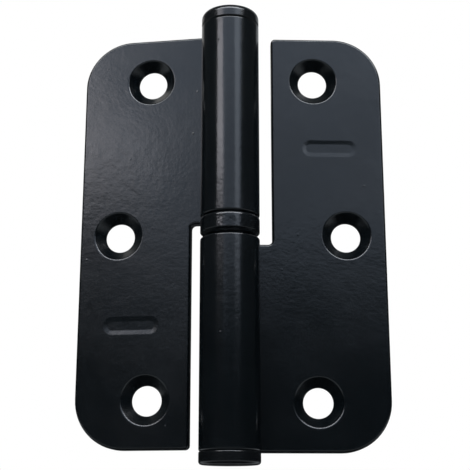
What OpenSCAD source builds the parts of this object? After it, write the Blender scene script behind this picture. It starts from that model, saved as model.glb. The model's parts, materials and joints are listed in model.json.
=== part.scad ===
// Lift-off door hinge with two rolled leaves, a fixed pin, a thrust ring and two end caps.
// The pin stands along +Z. The origin is on the pin axis, at the middle of the thrust ring.
// The frame leaf lies in the XZ plane towards +X. Its countersunk face looks towards -Y.

/* [Leaves] */
// Height of each leaf
leaf_h = 95; // [80:1:120]
// Distance from the pin axis to the outer edge of a leaf
leaf_reach = 35; // [29:0.5:50]
// Thickness of the sheet steel
sheet_t = 2.5; // [2:0.1:3]
// How far each leaf stops short of the other leaf's end
leaf_offset = 0.7; // [0:0.1:2]
// Radius of the two outer corners
outer_corner_r = 11; // [2:0.5:16]
// Radius of the small corners beside the knuckle
inner_corner_r = 1; // [0.3:0.1:2]
// Angle between the countersunk faces, where 0 is shut and 180 is flat
opening_angle = 191; // [150:1:260]

/* [Knuckles] */
// Outer diameter of the rolled knuckle
knuckle_d = 13; // [11:0.5:16]
// Gap between a knuckle and the other leaf's cut-out
notch_gap = 3.1; // [2.8:0.1:5]
// Seam left between the rolled end and the leaf
seam_gap = 0.15; // [0.1:0.05:0.5]

/* [Screw holes] */
// Diameter of the screw holes
hole_d = 6.6; // [4:0.1:7.5]
// Diameter of the countersinks at the face
countersink_d = 10.9; // [8:0.1:11.5]
// Height of the straight wall under a countersink
land_l = 0.5; // [0.3:0.1:1]
// Distance from a leaf's end to its nearest screw hole
hole_end_margin = 10.6; // [8:0.2:16]
// Distance from the cut-out beside the knuckle to the two end holes
end_hole_margin = 9.7; // [7:0.1:11]
// Distance from the outer edge to the middle hole
middle_hole_margin = 8.8; // [7:0.1:12]

/* [Stamped pad] */
// Length of the plain stamped pad
pad_l = 11.5; // [6:0.5:13]
// Width of the plain stamped pad
pad_w = 3; // [2:0.5:5]
// Depth of the plain stamped pad
pad_depth = 0.1; // [0.05:0.05:0.4]
// Distance along the pin from the middle hole to the pad
pad_rise = 20.5; // [10:0.5:20.5]

/* [Pin] */
// Radial play between the pin and what turns on it
running_clearance = 0.05; // [0.02:0.01:0.1]
// Free space between the pin's tip and the cap above it
pin_tip_gap = 5; // [0.5:0.5:15]
// Chamfer at the pin's upper tip
pin_chamfer = 1; // [0.5:0.1:2]
// Free space between the pin's foot and the cap below it
pin_foot_gap = 0.5; // [0.2:0.1:2]

/* [Thrust ring] */
// Height of the thrust ring
ring_h = 4.9; // [3:0.1:7]
// Chamfer around the upper edge of the ring
ring_top_chamfer = 0.4; // [0.2:0.1:0.8]
// Chamfer around the lower edge of the ring
ring_foot_chamfer = 1.3; // [0.2:0.1:1.6]

/* [End caps] */
// Height of the domed top cap above the knuckle's end
top_cap_h = 3.1; // [2.2:0.1:5]
// Radius around the outer edge of the top cap
top_cap_edge_r = 1.5; // [0.3:0.1:2]
// Height of the flat bottom cap below the knuckle's end
bottom_cap_h = 2.7; // [2.2:0.1:5]
// Radius around the outer edge of the bottom cap
bottom_cap_edge_r = 0.7; // [0.3:0.1:2]
// Length of the spigot that is pressed into the knuckle
spigot_l = 4; // [2:0.5:5]

/* [Hidden] */
$fn = 96;

cut_over = 1;
knuckle_r = knuckle_d / 2;
bore_r = knuckle_r - sheet_t;
running_r = bore_r - running_clearance;
// The leaf's back face is tangent to the back of its knuckle.
leaf_back_y = knuckle_r;
leaf_front_y = leaf_back_y - sheet_t;

// The two knuckles and the ring between them fill the height from one leaf's end to the other's.
own_end_z = -(leaf_h + leaf_offset) / 2;
knuckle_l = -own_end_z - ring_h / 2;
far_end_z = own_end_z + leaf_h;
leaf_middle_z = (own_end_z + far_end_z) / 2;
notch_z = -ring_h / 2;
notch_x = knuckle_r + notch_gap;

// The rolled end stops short of the leaf's front face, which leaves the seam.
roll_end_angle = asin((leaf_front_y - seam_gap) / knuckle_r);
roll_angle = 270 + roll_end_angle;

countersink_depth = sheet_t - land_l;
// How much the countersink widens in the length by which its cutter stands out of the face.
countersink_flare = (countersink_d - hole_d) * cut_over / countersink_depth;
end_hole_x = notch_x + end_hole_margin;
middle_hole_x = leaf_reach - middle_hole_margin;
hole_places = [
    [end_hole_x, own_end_z + hole_end_margin],
    [middle_hole_x, leaf_middle_z],
    [end_hole_x, far_end_z - hole_end_margin]
];
// The pad sits half-way between the two columns of holes.
pad_place = [(end_hole_x + middle_hole_x) / 2, leaf_middle_z + pad_rise];

steel_black = [0.09, 0.095, 0.11];
cap_black = [0.06, 0.065, 0.075];
ring_black = [0.12, 0.125, 0.14];
pin_steel = [0.62, 0.63, 0.65];

// What is cut away to round a corner whose flanks run along +X and +Y from the corner's arc.
module corner_waste(r) {
    difference() {
        square(r + cut_over);
        circle(r = r);
    }
}

// What is added in an inner corner at the origin, which opens towards +X and +Y.
module corner_fill(r) {
    difference() {
        square(r);
        translate([r, r]) circle(r = r);
    }
}

// Outline of the flat part of a leaf, with X from the pin axis and Y along the pin.
module leaf_outline() {
    difference() {
        union() {
            translate([notch_x, own_end_z]) square([leaf_reach - notch_x, leaf_h]);
            translate([0, own_end_z]) square([notch_x, knuckle_l]);
            translate([notch_x, notch_z]) mirror([1, 0]) corner_fill(inner_corner_r);
        }
        translate([leaf_reach - outer_corner_r, far_end_z - outer_corner_r])
            corner_waste(outer_corner_r);
        translate([leaf_reach - outer_corner_r, own_end_z + outer_corner_r])
            mirror([0, 1]) corner_waste(outer_corner_r);
        translate([notch_x + inner_corner_r, far_end_z - inner_corner_r])
            mirror([1, 0]) corner_waste(inner_corner_r);
    }
}

// Puts a shape drawn in XY, and raised by its depth, into the leaf's plane with its foot at y.
module stand_at(y) {
    translate([0, y, 0]) rotate([90, 0, 0]) children();
}

// One screw hole with its countersink, open at both faces.
module screw_hole() {
    translate([0, 0, -cut_over]) cylinder(h = sheet_t + 2 * cut_over, d = hole_d);
    translate([0, 0, land_l])
        cylinder(h = countersink_depth + cut_over, d1 = hole_d, d2 = countersink_d + countersink_flare);
}

// Outline of the plain stamped pad, with round ends.
module pad_outline() {
    straight_l = pad_l - pad_w;
    translate([-straight_l / 2, -pad_w / 2]) square([straight_l, pad_w]);
    for (side = [-1, 1]) translate([side * straight_l / 2, 0]) circle(d = pad_w);
}

// The sheet rolled round the pin, from the leaf's back face to the seam.
module rolled_knuckle() {
    rotate_extrude(angle = roll_angle, start = 90)
        translate([bore_r, own_end_z]) square([sheet_t, knuckle_l]);
}

// One whole leaf with its knuckle below the ring.
module leaf() {
    difference() {
        union() {
            stand_at(leaf_back_y) linear_extrude(height = sheet_t) leaf_outline();
            rolled_knuckle();
        }
        for (place = hole_places)
            stand_at(leaf_back_y) translate([place[0], place[1], 0]) screw_hole();
        stand_at(leaf_front_y + pad_depth) translate([pad_place[0], pad_place[1], 0])
            linear_extrude(height = pad_depth + cut_over) pad_outline();
    }
}

// One cap, standing on its spigot, with its seat at z = 0.
module cap(h, edge_r) {
    rotate_extrude() {
        square([knuckle_r - edge_r, h]);
        square([knuckle_r, h - edge_r]);
        translate([knuckle_r - edge_r, h - edge_r]) circle(r = edge_r);
        translate([0, -spigot_l]) square([bore_r, spigot_l + h / 2]);
    }
}

module frame_leaf() {
    color(steel_black) leaf();
}

// The door leaf is the same part, turned end for end and swung past flat.
module door_leaf() {
    color(steel_black) rotate([0, 0, 180 - opening_angle]) rotate([0, 180, 0]) leaf();
}

// The foot of the pin is pressed into the lower knuckle, and the rest runs free.
module hinge_pin() {
    foot_z = own_end_z + spigot_l + pin_foot_gap;
    tip_z = -own_end_z - spigot_l - pin_tip_gap;
    tip_r = running_r - pin_chamfer;
    color(pin_steel) rotate_extrude()
        polygon([[0, foot_z], [bore_r, foot_z], [bore_r, notch_z], [running_r, notch_z],
                 [running_r, tip_z - pin_chamfer], [tip_r, tip_z], [0, tip_z]]);
}

// The ring lies on the lower knuckle and carries the upper one.
module thrust_ring() {
    top_z = ring_h / 2;
    color(ring_black) rotate_extrude()
        polygon([[bore_r, -top_z], [knuckle_r - ring_foot_chamfer, -top_z],
                 [knuckle_r, ring_foot_chamfer - top_z], [knuckle_r, top_z - ring_top_chamfer],
                 [knuckle_r - ring_top_chamfer, top_z], [bore_r, top_z]]);
}

module top_cap() {
    color(cap_black) translate([0, 0, -own_end_z]) cap(top_cap_h, top_cap_edge_r);
}

module bottom_cap() {
    color(cap_black) translate([0, 0, own_end_z]) rotate([180, 0, 0])
        cap(bottom_cap_h, bottom_cap_edge_r);
}

frame_leaf();
door_leaf();
hinge_pin();
thrust_ring();
top_cap();
bottom_cap();
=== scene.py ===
"""Looks of a lift-off door hinge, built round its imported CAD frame.

The shapes are worked out in millimetres, and make_piece() turns them into metres. The hinge stands along Z,
with its origin on the pin's axis, and its countersunk faces look towards -Y.
"""

import json
import math

import bpy
from mathutils import Matrix, Vector
from mathutils.geometry import delaunay_2d_cdt


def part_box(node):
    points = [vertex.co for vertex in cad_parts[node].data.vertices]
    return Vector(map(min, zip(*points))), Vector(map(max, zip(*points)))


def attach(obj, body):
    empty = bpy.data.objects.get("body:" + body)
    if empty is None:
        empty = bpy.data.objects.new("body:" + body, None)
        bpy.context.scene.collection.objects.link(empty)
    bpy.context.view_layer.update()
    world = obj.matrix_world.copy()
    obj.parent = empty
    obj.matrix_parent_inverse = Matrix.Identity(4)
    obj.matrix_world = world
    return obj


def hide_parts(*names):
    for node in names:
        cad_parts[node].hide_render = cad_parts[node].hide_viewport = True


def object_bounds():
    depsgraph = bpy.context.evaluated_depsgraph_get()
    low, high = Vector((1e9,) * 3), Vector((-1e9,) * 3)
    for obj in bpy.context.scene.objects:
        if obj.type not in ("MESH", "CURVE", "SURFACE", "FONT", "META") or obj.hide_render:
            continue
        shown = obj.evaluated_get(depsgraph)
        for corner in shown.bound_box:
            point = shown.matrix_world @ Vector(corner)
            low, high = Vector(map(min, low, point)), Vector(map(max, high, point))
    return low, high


MM = 0.001

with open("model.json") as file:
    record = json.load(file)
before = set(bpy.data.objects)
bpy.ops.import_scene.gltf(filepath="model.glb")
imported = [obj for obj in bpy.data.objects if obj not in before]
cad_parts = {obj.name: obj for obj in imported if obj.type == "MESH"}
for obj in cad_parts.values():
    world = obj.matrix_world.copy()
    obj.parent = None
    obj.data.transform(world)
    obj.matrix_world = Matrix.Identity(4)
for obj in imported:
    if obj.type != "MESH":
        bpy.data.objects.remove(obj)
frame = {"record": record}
cad_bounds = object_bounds()

# ---------------------------------------------------------------------------
# Sizes that the frame gives

mounts = {mount["name"]: mount for mount in frame["record"]["mounts"]}
leaf_low, leaf_high = (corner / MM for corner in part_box("frame_leaf"))
pin_low, pin_high = (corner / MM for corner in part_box("hinge_pin"))
ring_low, ring_high = (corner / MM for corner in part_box("thrust_ring"))
top_cap_low, top_cap_high = (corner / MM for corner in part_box("top_cap"))
bottom_cap_low, bottom_cap_high = (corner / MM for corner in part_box("bottom_cap"))

knuckle_r = -leaf_low.x
leaf_reach = leaf_high.x
own_end_z = leaf_low.z
far_end_z = leaf_high.z
notch_z = ring_low.z
bore_r = pin_high.x
sheet_t = knuckle_r - bore_r
top_cap_h = top_cap_high.z + own_end_z
bottom_cap_h = own_end_z - bottom_cap_low.z
spigot_l = -own_end_z - top_cap_low.z

hole_mounts = [mounts["frame_screw_" + place] for place in ("lower", "middle", "upper")]
hole_places = [Vector((mount["pos_m"][0], mount["pos_m"][2])) / MM for mount in hole_mounts]
hole_r = hole_mounts[0]["dims"]["r_mm"]
land_l = hole_mounts[0]["dims"]["length_mm"]

# ---------------------------------------------------------------------------
# Sizes that the frame doesn't give

# The leaf's outline
NOTCH_GAP = 3.1
OUTER_CORNER_R = 11.0
INNER_CORNER_R = 1.0
SEAM_CORNER_R = 0.85
SEAM_GAP = 0.15

# The roundings where its faces meet its edges, and the flat band beside each
FRONT_EDGE_R = 0.6
BACK_EDGE_R = 0.45
EDGE_BAND = 0.02

# The screw holes
COUNTERSINK_R = 5.45
RIM_R = 0.65
LAND_RIM_R = 0.15
FOOT_RIM_R = 0.2
HOLE_BAND = 0.35

# The stamped pad, whose wall slopes from its outer to its inner edge
PAD_L = 11.5
PAD_W = 3.0
PAD_DEPTH = 0.1
PAD_RISE = 20.5
PAD_WALL = 0.5
PAD_WALL_R = 2.5
PAD_BAND = 0.85

# The ring, the caps and the pin
RING_TOP_R = 0.9
RING_FOOT_CHAMFER = 1.3
RING_FOOT_R = 0.3
RING_BORE_R = 0.15
TOP_CAP_EDGE_R = 1.5
BOTTOM_CAP_EDGE_R = 0.7
CAP_SEAT_R = 0.3
CAP_SEAT_BAND = 0.1
PIN_PLAY = 0.05
PIN_CHAMFER = 1.0
PIN_TIP_R = 0.3
PIN_STEP_H = 0.1
PIN_STEP_R = 0.05
# The rounding at the foot of the pin and of a cap's spigot, and how much smaller than its bore each is drawn
FOOT_R = 0.4
PRESS_PLAY = 0.01

# How finely the meshes are divided
LATHE_SEGMENTS = 128
HOLE_SEGMENTS = 64
ROLL_STEP = math.radians(5)
OUTLINE_STEP = math.radians(5)
HOLE_STEP = math.radians(9)
PAD_STEP = math.radians(7)
PROFILE_STEP = math.radians(12)
GRID_STEP = 3.0

notch_x = knuckle_r + NOTCH_GAP
pad_centre = Vector(((hole_places[0].x + hole_places[1].x) / 2, hole_places[1].y + PAD_RISE))
neutral_r = (knuckle_r + bore_r) / 2
front_y = knuckle_r - sheet_t
roll_angle = math.radians(270) + math.asin((front_y - SEAM_GAP) / knuckle_r)
roll_end_s = -neutral_r * roll_angle


# ---------------------------------------------------------------------------
# Mesh helpers


class Shell:
    """Points with their normals, and the faces between them."""

    def __init__(self):
        self.points = []
        self.normals = []
        self.faces = []

    def add(self, point, normal):
        self.points.append(Vector(point))
        self.normals.append(Vector(normal).normalized())
        return len(self.points) - 1

    def strip(self, rows):
        """Faces between each row of points and the next one. A row closes on itself."""
        for low, high in zip(rows, rows[1:]):
            for i in range(len(low)):
                j = (i + 1) % len(low)
                self.faces.append((low[i], low[j], high[j], high[i]))

    def moved(self, place, turn):
        """A copy whose points and normals have gone through place(point) and turn(point, normal)."""
        copy = Shell()
        for point, normal in zip(self.points, self.normals):
            copy.add(place(point), turn(point, normal))
        copy.faces = list(self.faces)
        return copy


def ways_round(count):
    """Directions spaced evenly round a circle, anticlockwise from +X."""
    angles = [2 * math.pi * k / count for k in range(count)]
    return [Vector((math.cos(angle), math.sin(angle))) for angle in angles]


def rounded(corners, closed=False, step=PROFILE_STEP):
    """(point, normal) pairs along a line of (x, y, radius) corners.

    The normal is on the right of the way forward.
    """
    path = []
    count = len(corners)
    for i, (x, y, radius) in enumerate(corners):
        here = Vector((x, y))
        before = Vector(corners[i - 1][:2]) if closed or i > 0 else None
        after = Vector(corners[(i + 1) % count][:2]) if closed or i < count - 1 else None
        way_in = (here - before).normalized() if before else (after - here).normalized()
        way_out = (after - here).normalized() if after else way_in
        turn = math.atan2(way_in.cross(way_out), way_in.dot(way_out))
        if radius == 0 or abs(turn) < 1e-6:
            path.append((here, Vector((way_in.y, -way_in.x))))
            continue
        side = math.copysign(1, turn)
        start = here - way_in * radius * math.tan(abs(turn) / 2)
        start_normal = Vector((way_in.y, -way_in.x))
        centre = start - start_normal * radius * side
        pieces = max(2, math.ceil(abs(turn) / step))
        for k in range(pieces + 1):
            normal = Matrix.Rotation(turn * k / pieces, 2) @ start_normal
            path.append((centre + normal * radius * side, normal))
    return path


def divided(path, columns, rows):
    """The closed path with points added where its straight runs cross a column or a row of the grid."""
    clear = 0.1
    made = []
    for (a, normal), (b, next_normal) in zip(path, path[1:] + path[:1]):
        made.append((a, normal))
        if (normal - next_normal).length > 1e-4:
            continue
        axis = 0 if abs(b.x - a.x) > abs(b.y - a.y) else 1
        lines = (columns, rows)[axis]
        low, high = sorted((a[axis], b[axis]))
        inside = [value for value in lines if low + clear < value < high - clear]
        for value in sorted(inside, reverse=b[axis] < a[axis]):
            share = (value - a[axis]) / (b[axis] - a[axis])
            made.append((a.lerp(b, share), normal))
    return made


def swept(shell, path, profile):
    """Rows of points where a profile of (outward offset, depth) is carried along a path in the sheet."""
    rows = []
    for (offset, depth), (outward, deep) in profile:
        row = []
        for point, way in path:
            place = point + way * offset
            normal = (way.x * outward, way.y * outward, deep)
            row.append(shell.add((place.x, place.y, depth), normal))
        rows.append(row)
    return rows


def filled(shell, outer, holes, depth, facing, grid):
    """Triangles at one depth of the sheet, inside the outer loop and outside the holes.

    The grid's points, (s, z) pairs, are new corners. Facing is 1 for the front and -1 for the back.
    """
    loops = [outer] + holes
    own = [index for loop in loops for index in loop]
    flat = [shell.points[index].xy for index in own]
    starts = [0]
    for loop in loops:
        starts.append(starts[-1] + len(loop))
    rings = [list(range(a, b)) for a, b in zip(starts, starts[1:])]
    inside_rings = 1
    nearness = 1e-5
    result = delaunay_2d_cdt(flat + grid, [], rings, inside_rings, nearness)
    places, _, triangles, from_points, _, from_faces = result
    # A triangle in a hole comes from two rings, and is left out.
    kept = [triangle for triangle, source in zip(triangles, from_faces) if source == [0]]
    index_of = {}
    for i in {corner for triangle in kept for corner in triangle}:
        known = [source for source in from_points[i] if source < len(own)]
        if known:
            index_of[i] = own[known[0]]
        else:
            index_of[i] = shell.add((places[i].x, places[i].y, depth), (0, 0, facing))
    for triangle in kept:
        corners = [index_of[i] for i in triangle]
        shell.faces.append(corners if facing > 0 else corners[::-1])


def lathed(profile):
    """A shell of revolution about Z from a profile of (radius, z) points that runs upwards on the outside."""
    shell = Shell()
    ways = ways_round(LATHE_SEGMENTS)
    rows = []
    for (r, z), (out, up) in profile:
        if r == 0:
            row = [shell.add((0, 0, z), (0, 0, up))] * LATHE_SEGMENTS
        else:
            row = [shell.add((way.x * r, way.y * r, z), (way.x * out, way.y * out, up)) for way in ways]
        rows.append(row)
    shell.strip(rows)
    # A face at the axis has the same corner twice, and becomes a triangle.
    shell.faces = [tuple(dict.fromkeys(face)) for face in shell.faces]
    return shell


def make_piece(name, shell, material, body, node):
    """A mesh object from a shell, which rides on its body and stands for its CAD node."""
    mesh = bpy.data.meshes.new(name)
    mesh.from_pydata([point * MM for point in shell.points], [], shell.faces)
    mesh.shade_smooth()
    mesh.normals_split_custom_set_from_vertices(shell.normals)
    mesh.materials.append(material)
    piece = bpy.data.objects.new(name, mesh)
    bpy.context.scene.collection.objects.link(piece)
    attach(piece, body)
    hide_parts(node)


# ---------------------------------------------------------------------------
# The leaves, made as a flat blank and then rolled
#
# A point of the blank is (s, z, depth): s along the sheet, which is x on the flat leaf and below zero
# where the sheet is rolled, z along the pin, and depth from the back face.


def grid_lines():
    """Columns and rows of the blank's grid, close together where the sheet is rolled."""
    roll_count = round(roll_angle / ROLL_STEP)
    columns = [roll_end_s * k / roll_count for k in range(roll_count, 0, -1)]
    columns += [GRID_STEP * k for k in range(math.ceil(leaf_reach / GRID_STEP))]
    rows = [own_end_z + GRID_STEP * k for k in range(1, int((far_end_z - own_end_z) / GRID_STEP))]
    return columns, rows


def blank_outline(columns, rows):
    """The outline of the blank, anticlockwise as seen from the front."""
    corners = [
        (roll_end_s, own_end_z, SEAM_CORNER_R),
        (leaf_reach, own_end_z, OUTER_CORNER_R),
        (leaf_reach, far_end_z, OUTER_CORNER_R),
        (notch_x, far_end_z, INNER_CORNER_R),
        (notch_x, notch_z, INNER_CORNER_R),
        (roll_end_s, notch_z, SEAM_CORNER_R),
    ]
    return divided(rounded(corners, closed=True, step=OUTLINE_STEP), columns, rows)


def edge_profile():
    """The sheet's edge from back to front, as (outward offset, depth)."""
    return rounded([
        (-BACK_EDGE_R - EDGE_BAND, 0, 0),
        (0, 0, BACK_EDGE_R),
        (0, sheet_t, FRONT_EDGE_R),
        (-FRONT_EDGE_R - EDGE_BAND, sheet_t, 0),
    ])


def hole_profile():
    """A screw hole from the front face to the back, as (radius, depth)."""
    corners = [
        (COUNTERSINK_R + HOLE_BAND, sheet_t, 0),
        (COUNTERSINK_R, sheet_t, RIM_R),
        (hole_r, land_l, LAND_RIM_R),
        (hole_r, 0, FOOT_RIM_R),
        (hole_r + HOLE_BAND, 0, 0),
    ]
    return rounded(corners, step=HOLE_STEP)


def pad_profile():
    """The wall of the stamped pad from the face down to its floor, as (outward offset, depth)."""
    floor = sheet_t - PAD_DEPTH
    return rounded([
        (PAD_BAND, sheet_t, 0),
        (PAD_WALL, sheet_t, PAD_WALL_R),
        (-PAD_WALL, floor, PAD_WALL_R),
        (-PAD_BAND, floor, 0),
    ])


def pad_path():
    """The outline of the stamped pad, whose ends are all but half circles."""
    half_l, half_w = PAD_L / 2, PAD_W / 2
    end_r = half_w - 0.01
    sides = [(-half_l, -half_w), (half_l, -half_w), (half_l, half_w), (-half_l, half_w)]
    corners = [(pad_centre.x + x, pad_centre.y + z, end_r) for x, z in sides]
    return rounded(corners, closed=True, step=PAD_STEP)


def is_clear(place, edge_clear, feature_clear):
    """Whether a place (s, z) on the blank is away from its edge, its holes and its pad."""
    s, z = place
    top = far_end_z if s > notch_x + edge_clear else notch_z
    if not roll_end_s + edge_clear < s < leaf_reach - edge_clear:
        return False
    if not own_end_z + edge_clear < z < top - edge_clear:
        return False
    past_x = max(s - (leaf_reach - OUTER_CORNER_R), 0)
    past_z = max(z - (far_end_z - OUTER_CORNER_R), own_end_z + OUTER_CORNER_R - z, 0)
    if math.hypot(past_x, past_z) > OUTER_CORNER_R - edge_clear:
        return False
    if any((place - hole).length < COUNTERSINK_R + feature_clear for hole in hole_places):
        return False
    from_pad = place - pad_centre
    beside_pad = abs(from_pad.x) < PAD_L / 2 + feature_clear
    return not (beside_pad and abs(from_pad.y) < PAD_W / 2 + feature_clear)


def grid_points(columns, rows):
    """The grid's points that are well inside the blank."""
    edge_clear = FRONT_EDGE_R + 0.25
    feature_clear = 0.6
    places = [Vector((s, z)) for s in columns for z in rows]
    return [place for place in places if is_clear(place, edge_clear, feature_clear)]


def blank_shell():
    """The whole flat blank, with its edge, countersunk holes and stamped pad."""
    shell = Shell()
    columns, rows = grid_lines()
    grid = grid_points(columns, rows)
    edge = swept(shell, blank_outline(columns, rows), edge_profile())
    shell.strip(edge)
    front_loops, back_loops = [], []
    for place in hole_places:
        centre_path = [(place, way) for way in ways_round(HOLE_SEGMENTS)]
        hole = swept(shell, centre_path, hole_profile())
        shell.strip(hole)
        front_loops.append(hole[0])
        back_loops.append(hole[-1])
    pad = swept(shell, pad_path(), pad_profile())
    shell.strip(pad)
    front_loops.append(pad[0])
    filled(shell, edge[-1], front_loops, sheet_t, 1, grid)
    filled(shell, edge[0], back_loops, 0, -1, grid)
    filled(shell, pad[-1], [], sheet_t - PAD_DEPTH, 1, [])
    return shell


def roll_frame(s):
    """Directions of +s and of depth at a place along the rolled or flat sheet."""
    angle = math.radians(90) + max(-s, 0) / neutral_r
    radial = Vector((math.cos(angle), math.sin(angle), 0))
    along = Vector((math.sin(angle), -math.cos(angle), 0))
    return along, -radial


def rolled_point(point):
    """Where a point of the blank is once the sheet is rolled."""
    s, z, depth = point
    inward = roll_frame(s)[1]
    return Vector((max(s, 0), 0, z)) - inward * (knuckle_r - depth)


def rolled_normal(point, normal):
    """Which way a normal of the blank looks once the sheet is rolled."""
    along, inward = roll_frame(point.x)
    return along * normal.x + Vector((0, 0, normal.y)) + inward * normal.z


def door_turn():
    """Turns the frame leaf end for end, and then to where the door leaf's back face looks."""
    back = mounts["door_leaf_back"]["axis"]
    swing = math.atan2(back[1], back[0]) - math.radians(90)
    return Matrix.Rotation(swing, 3, "Z") @ Matrix.Rotation(math.pi, 3, "Y")


# ---------------------------------------------------------------------------
# The turned pieces


def ring_shell():
    """The thrust ring, whose profile starts and ends in its bore, just below the top."""
    low, high = ring_low.z, ring_high.z
    bore_start = (bore_r, high - 2 * RING_BORE_R, 0)
    profile = rounded([
        bore_start,
        (bore_r, low, RING_BORE_R),
        (knuckle_r - RING_FOOT_CHAMFER, low, RING_BORE_R),
        (knuckle_r, low + RING_FOOT_CHAMFER, RING_FOOT_R),
        (knuckle_r, high, RING_TOP_R),
        (bore_r, high, RING_BORE_R),
        bore_start,
    ])
    return lathed(profile)


def cap_shell(height, edge_r):
    """A cap standing on its spigot, with its seat at z = 0."""
    spigot_r = bore_r - PRESS_PLAY
    profile = rounded([
        (0, -spigot_l, 0),
        (spigot_r, -spigot_l, FOOT_R),
        (spigot_r, 0, 0),
        (spigot_r + CAP_SEAT_BAND, 0, 0),
        (knuckle_r, 0, CAP_SEAT_R),
        (knuckle_r, height, edge_r),
        (0, height, 0),
    ])
    return lathed(profile)


def pin_shell():
    """The pin, thicker where its foot is pressed into the lower knuckle."""
    foot_r = bore_r - PRESS_PLAY
    running_r = bore_r - PIN_PLAY
    tip_z = pin_high.z
    profile = rounded([
        (0, pin_low.z, 0),
        (foot_r, pin_low.z, FOOT_R),
        (foot_r, notch_z - PIN_STEP_H, PIN_STEP_R),
        (running_r, notch_z, PIN_STEP_R),
        (running_r, tip_z - PIN_CHAMFER, PIN_TIP_R),
        (running_r - PIN_CHAMFER, tip_z, PIN_TIP_R),
        (0, tip_z, 0),
    ])
    return lathed(profile)


# ---------------------------------------------------------------------------
# Materials


class Nodes:
    """A short way to add and join the nodes of one tree."""

    def __init__(self, tree):
        self.tree = tree
        tree.nodes.clear()

    def add(self, kind, links=None, **settings):
        node = self.tree.nodes.new(kind)
        for key, value in settings.items():
            setattr(node, key, value)
        for socket, source in (links or {}).items():
            target = node.inputs[socket]
            if isinstance(source, bpy.types.NodeSocket):
                self.tree.links.new(source, target)
            else:
                target.default_value = source
        return node

    def noise(self, where, scale, detail=2.0, rough=0.5):
        sockets = {"Vector": where, "Scale": scale, "Detail": detail, "Roughness": rough}
        return self.add("ShaderNodeTexNoise", sockets).outputs["Fac"]

    def stretched(self, where, scale):
        return self.add("ShaderNodeMapping", {"Vector": where, "Scale": scale}).outputs[0]

    def ranged(self, value, start, end, to):
        """The value mapped so that start to end becomes to[0] to to[1], and held there outside."""
        sockets = {"Value": value, "From Min": start, "From Max": end, "To Min": to[0], "To Max": to[1]}
        return self.add("ShaderNodeMapRange", sockets).outputs["Result"]

    def math(self, operation, a, b):
        return self.add("ShaderNodeMath", {0: a, 1: b}, operation=operation).outputs[0]

    def mix(self, factor, a, b):
        """A colour between two colours."""
        factor_socket, a_socket, b_socket = 0, 6, 7
        sockets = {factor_socket: factor, a_socket: a, b_socket: b}
        return self.add("ShaderNodeMix", sockets, data_type="RGBA").outputs[2]

    def bump(self, height):
        """Normals for a height in metres."""
        sockets = {"Height": height, "Strength": 1.0, "Distance": 1.0}
        return self.add("ShaderNodeBump", sockets).outputs[0]

    def surface(self, sockets):
        """The material's one shader."""
        shader = self.add("ShaderNodeBsdfPrincipled", sockets)
        self.add("ShaderNodeOutputMaterial", {"Surface": shader.outputs[0]})


def new_material(name):
    """A material, its nodes, and the place on the object that they work from, in metres."""
    material = bpy.data.materials.new(name)
    material.use_nodes = True
    n = Nodes(material.node_tree)
    where = n.add("ShaderNodeTexCoord").outputs["Object"]
    return material, n, where


def dust_nibs(n, where, share):
    """Small round mounds, at most one in each cell of a random pattern, and none in the rest of the cells."""
    mound_r = 0.07
    cells = n.add("ShaderNodeTexVoronoi", {"Vector": where, "Scale": 190.0})
    chosen = n.add("ShaderNodeSeparateColor", {"Color": cells.outputs["Color"]}).outputs["Red"]
    mound = n.ranged(cells.outputs["Distance"], 0.0, mound_r, to=(1, 0))
    is_chosen = n.math("GREATER_THAN", chosen, 1 - share)
    return n.math("MULTIPLY", n.math("MULTIPLY", mound, mound), is_chosen)


def paint(name, dark, light, roughness, peel, lumps, nib_share):
    """Black paint with orange peel, slow lumps, drawing streaks, dust nibs under it and uneven gloss.

    Peel and lumps are heights in metres, and nib_share is how many of the cells have a nib.
    """
    grain_height = 0.0000012
    streak_height = 0.0000025
    nib_height = 0.00008
    material, n, where = new_material(name)

    cloud = n.noise(where, scale=90, detail=3)
    colour = n.mix(n.ranged(cloud, 0.35, 0.7, to=(0, 1)), (*dark, 1), (*light, 1))

    smear = n.noise(where, scale=34, detail=5, rough=0.65)
    grain = n.noise(where, scale=5200)
    gloss = n.ranged(smear, 0.35, 0.7, to=(roughness - 0.03, roughness + 0.06))
    uneven = n.math("ADD", gloss, n.ranged(grain, 0.3, 0.7, to=(-0.025, 0.025)))

    along_pin = n.stretched(where, (1.0, 1.0, 0.04))
    layers = [
        (n.noise(where, scale=1500), peel),
        (n.noise(where, scale=380), lumps),
        (grain, grain_height),
        (n.noise(along_pin, scale=1900), streak_height),
        (dust_nibs(n, where, nib_share), nib_height),
    ]
    height = 0.0
    for pattern, layer_height in layers:
        height = n.math("ADD", height, n.math("MULTIPLY", pattern, layer_height))
    n.surface({"Base Color": colour, "Roughness": uneven, "Normal": n.bump(height)})
    return material


def ground_steel(name):
    """Centreless-ground steel with turning lines and a trace of oil."""
    clean = (0.58, 0.585, 0.59, 1)
    oiled = (0.42, 0.41, 0.385, 1)
    line_height = 0.000004
    material, n, where = new_material(name)
    lines = n.noise(n.stretched(where, (0.03, 0.03, 1.0)), scale=9000, detail=3, rough=0.7)
    oil = n.noise(where, scale=160, detail=4, rough=0.6)
    oily = n.ranged(oil, 0.48, 0.62, to=(0, 1))
    rough = n.math("ADD", n.ranged(lines, 0.3, 0.7, to=(0.2, 0.34)), n.math("MULTIPLY", oily, -0.08))
    n.surface({
        "Base Color": n.mix(oily, clean, oiled),
        "Roughness": rough,
        "Metallic": 1.0,
        "Normal": n.bump(n.math("MULTIPLY", lines, line_height)),
    })
    return material


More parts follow.
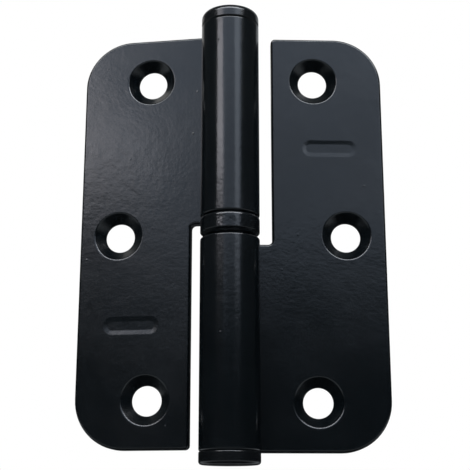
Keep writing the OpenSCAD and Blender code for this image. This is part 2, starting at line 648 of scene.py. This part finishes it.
def floor_material():
    """A pale matt floor that fades to white away from the hinge."""
    fade_start, fade_end = 0.1, 0.9
    material, n, where = new_material("pale_floor")
    colour = n.mix(n.noise(where, scale=12, detail=4), (0.78, 0.78, 0.77, 1), (0.84, 0.84, 0.83, 1))
    level = n.add("ShaderNodeVectorMath", {0: where, 1: (1.0, 1.0, 0.0)}, operation="MULTIPLY").outputs[0]
    away = n.add("ShaderNodeVectorMath", {0: level}, operation="LENGTH").outputs["Value"]
    n.surface({
        "Base Color": colour,
        "Roughness": 0.8,
        "Emission Color": (1, 1, 1, 1),
        "Emission Strength": n.ranged(away, fade_start, fade_end, to=(0.0, 1.0)),
    })
    return material


# ---------------------------------------------------------------------------
# The pieces

leaf_paint = paint(
    "leaf_paint",
    dark=(0.0011, 0.0019, 0.0024),
    light=(0.002, 0.003, 0.0037),
    roughness=0.175,
    peel=0.000012,
    lumps=0.000026,
    nib_share=0.8,
)
ring_paint = paint(
    "ring_paint",
    dark=(0.0012, 0.0019, 0.0023),
    light=(0.0022, 0.003, 0.0036),
    roughness=0.14,
    peel=0.000022,
    lumps=0.00009,
    nib_share=0.8,
)
cap_paint = paint(
    "cap_paint",
    dark=(0.0014, 0.0019, 0.0023),
    light=(0.0022, 0.0028, 0.0034),
    roughness=0.21,
    peel=0.000012,
    lumps=0.000022,
    nib_share=0.5,
)
pin_steel = ground_steel("pin_steel")

leaf_shell = blank_shell().moved(rolled_point, rolled_normal)
turn = door_turn()
door_shell = leaf_shell.moved(lambda point: turn @ point, lambda point, normal: turn @ normal)
make_piece("frame_leaf_painted", leaf_shell, leaf_paint, "frame_side", "frame_leaf")
make_piece("door_leaf_painted", door_shell, leaf_paint, "door_side", "door_leaf")

seat = Vector((0, 0, -own_end_z))
upside_down = Matrix.Rotation(math.pi, 3, "X")
top_shell = cap_shell(top_cap_h, TOP_CAP_EDGE_R).moved(
    lambda point: point + seat,
    lambda point, normal: normal,
)
bottom_shell = cap_shell(bottom_cap_h, BOTTOM_CAP_EDGE_R).moved(
    lambda point: upside_down @ (point + seat),
    lambda point, normal: upside_down @ normal,
)
make_piece("top_cap_painted", top_shell, cap_paint, "door_side", "top_cap")
make_piece("bottom_cap_painted", bottom_shell, cap_paint, "frame_side", "bottom_cap")
make_piece("thrust_ring_painted", ring_shell(), ring_paint, "ring", "thrust_ring")
make_piece("hinge_pin_ground", pin_shell(), pin_steel, "frame_side", "hinge_pin")

# ---------------------------------------------------------------------------
# Floor, light and camera, in metres

FLOOR_DROP = 0.045
FLOOR_R = 2.0
FLOOR_SEGMENTS = 96

CAMERA_AIM = Vector((1.109, 0.333, -1.402)) * MM
CAMERA_DISTANCE = 231.433 * MM
CAMERA_AZIMUTH = -2.117
CAMERA_ELEVATION = -14.941
CAMERA_LENS = 81.18

# Colours of light
LILAC = (0.93, 0.92, 1.0)
BLUE = (0.68, 0.8, 1.0)
PALE_BLUE = (0.8, 0.88, 1.0)
DAYLIGHT = (0.95, 0.97, 1.0)
WARM = (1.0, 0.98, 0.95)
COOL = (0.9, 0.95, 1.0)


def way_to(azimuth, elevation):
    """Direction from the hinge, where azimuth 0 is in front of it and 90 is on its +X side."""
    a, e = math.radians(azimuth), math.radians(elevation)
    return Vector((math.sin(a) * math.cos(e), -math.cos(a) * math.cos(e), math.sin(e)))


def soft_box(name, azimuth, elevation, width, height, radiance, colour):
    """A flat soft light that looks at the hinge. Its width and height are the angles it fills, in degrees."""
    distance = 0.9
    light = bpy.data.lights.new(name, "AREA")
    light.shape = "RECTANGLE"
    light.size = 2 * distance * math.tan(math.radians(width) / 2)
    light.size_y = 2 * distance * math.tan(math.radians(height) / 2)
    light.energy = radiance * math.pi * light.size * light.size_y
    light.color = colour
    box = bpy.data.objects.new(name, light)
    bpy.context.scene.collection.objects.link(box)
    way = way_to(azimuth, elevation)
    box.location = way * distance
    box.rotation_euler = way.to_track_quat("Z", "Y").to_euler()
    box.visible_camera = False


def make_floor():
    """A round pale floor a little below the hinge, which doesn't show in its gloss."""
    low, high = cad_bounds
    centre = (low + high) / 2
    rim = [(centre.x + FLOOR_R * way.x, centre.y + FLOOR_R * way.y) for way in ways_round(FLOOR_SEGMENTS)]
    mesh = bpy.data.meshes.new("floor")
    mesh.from_pydata([(x, y, low.z - FLOOR_DROP) for x, y in rim], [], [list(range(FLOOR_SEGMENTS))])
    mesh.materials.append(floor_material())
    floor = bpy.data.objects.new("floor", mesh)
    bpy.context.scene.collection.objects.link(floor)
    floor.visible_glossy = False


def make_world():
    """White to the camera. A dim room lights the hinge, with a pale band low down, but not straight behind."""
    world = bpy.data.worlds.new("studio")
    bpy.context.scene.world = world
    world.use_nodes = True
    n = Nodes(world.node_tree)
    way = n.add("ShaderNodeTexCoord").outputs["Generated"]
    parts = n.add("ShaderNodeSeparateXYZ", {0: way}).outputs
    up, behind = parts["Z"], parts["Y"]

    above = n.ranged(up, 0.0, 0.6, to=(0.01, 0.1))
    band_top = n.ranged(up, -0.08, -0.24, to=(0, 0.6))
    band_foot = n.ranged(up, -0.45, -0.75, to=(1, 0))
    below = n.math("MULTIPLY", band_top, band_foot)
    straight_behind = n.ranged(behind, 0.72, 0.88, to=(0, 1))
    unlit = n.math("MULTIPLY", straight_behind, n.ranged(up, -0.5, -0.36, to=(0, 0.95)))
    strength = n.math("ADD", above, n.math("MULTIPLY", below, n.math("SUBTRACT", 1.0, unlit)))

    room = n.add("ShaderNodeBackground", {"Color": (0.86, 0.94, 1.0, 1), "Strength": strength})
    white = n.add("ShaderNodeBackground", {"Color": (1, 1, 1, 1), "Strength": 1.0})
    seen = n.add("ShaderNodeLightPath").outputs["Is Camera Ray"]
    both = n.add("ShaderNodeMixShader", {0: seen, 1: room.outputs[0], 2: white.outputs[0]})
    n.add("ShaderNodeOutputWorld", {"Surface": both.outputs[0]})


def make_camera():
    """The photograph's view, square to the hinge and from a little below it."""
    lens_data = bpy.data.cameras.new("camera")
    lens_data.sensor_width = 36
    lens_data.lens = CAMERA_LENS
    lens_data.clip_start = 0.01
    camera = bpy.data.objects.new("camera", lens_data)
    bpy.context.scene.collection.objects.link(camera)
    way = way_to(CAMERA_AZIMUTH, CAMERA_ELEVATION)
    camera.location = CAMERA_AIM + way * CAMERA_DISTANCE
    camera.rotation_euler = way.to_track_quat("Z", "Y").to_euler()
    bpy.context.scene.camera = camera


make_floor()
make_world()
soft_box("left_box", -42.5, 24.3, width=20, height=13, radiance=4.9, colour=LILAC)
soft_box("left_low_box", -30, 20.5, width=8, height=5, radiance=2.8, colour=LILAC)
soft_box("front_box", 6, 36, width=66, height=46, radiance=0.98, colour=BLUE)
soft_box("front_high_box", 6, 42, width=66, height=34, radiance=0.45, colour=BLUE)
soft_box("right_box", 26, 36, width=17, height=46, radiance=1.3, colour=PALE_BLUE)
soft_box("ceiling_box", -4, 52, width=84, height=14, radiance=11.0, colour=DAYLIGHT)
soft_box("back_left_box", -160, 42, width=44, height=36, radiance=0.5, colour=WARM)
soft_box("back_right_box", 155, 42, width=44, height=36, radiance=0.5, colour=COOL)
make_camera()
bpy.context.scene.view_settings.view_transform = "Standard"
